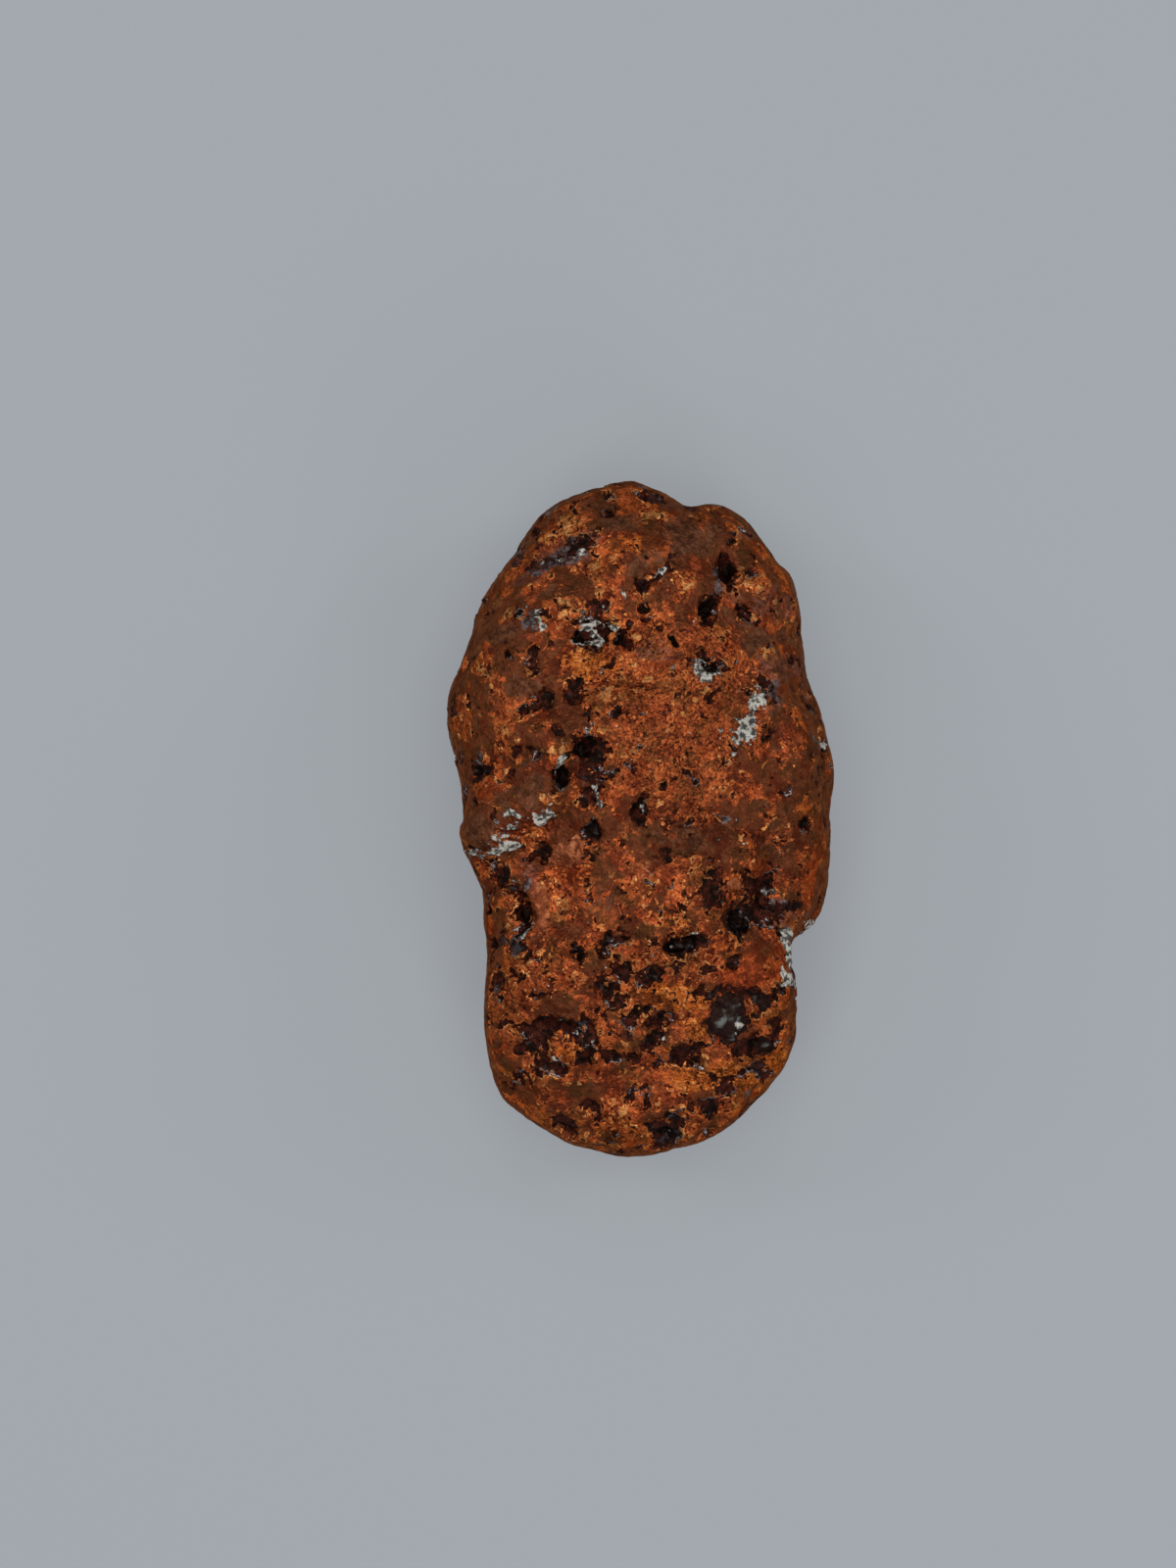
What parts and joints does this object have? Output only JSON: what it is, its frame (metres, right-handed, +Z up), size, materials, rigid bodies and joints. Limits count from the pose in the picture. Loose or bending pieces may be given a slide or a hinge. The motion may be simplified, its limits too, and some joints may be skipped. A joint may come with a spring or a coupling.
{
  "type": "native copper nugget",
  "caption": "Water-worn lump of native copper with folds, pits and pale mineral crusts, lying on its broad side.",
  "frame": {"origin": "on the resting face, under the middle of the lump's box", "axes": "+Z up, +Y along the lump's long way towards its broader end, +X to the right as seen from above"},
  "size_m": [0.0286, 0.05, 0.018],
  "materials": {
    "native_copper": "tarnished native copper with bright grains, dark pits and pale mineral crusts"
  },
  "bodies": {
    "root": {"copper_nugget": "native_copper"}
  },
  "joints": []
}
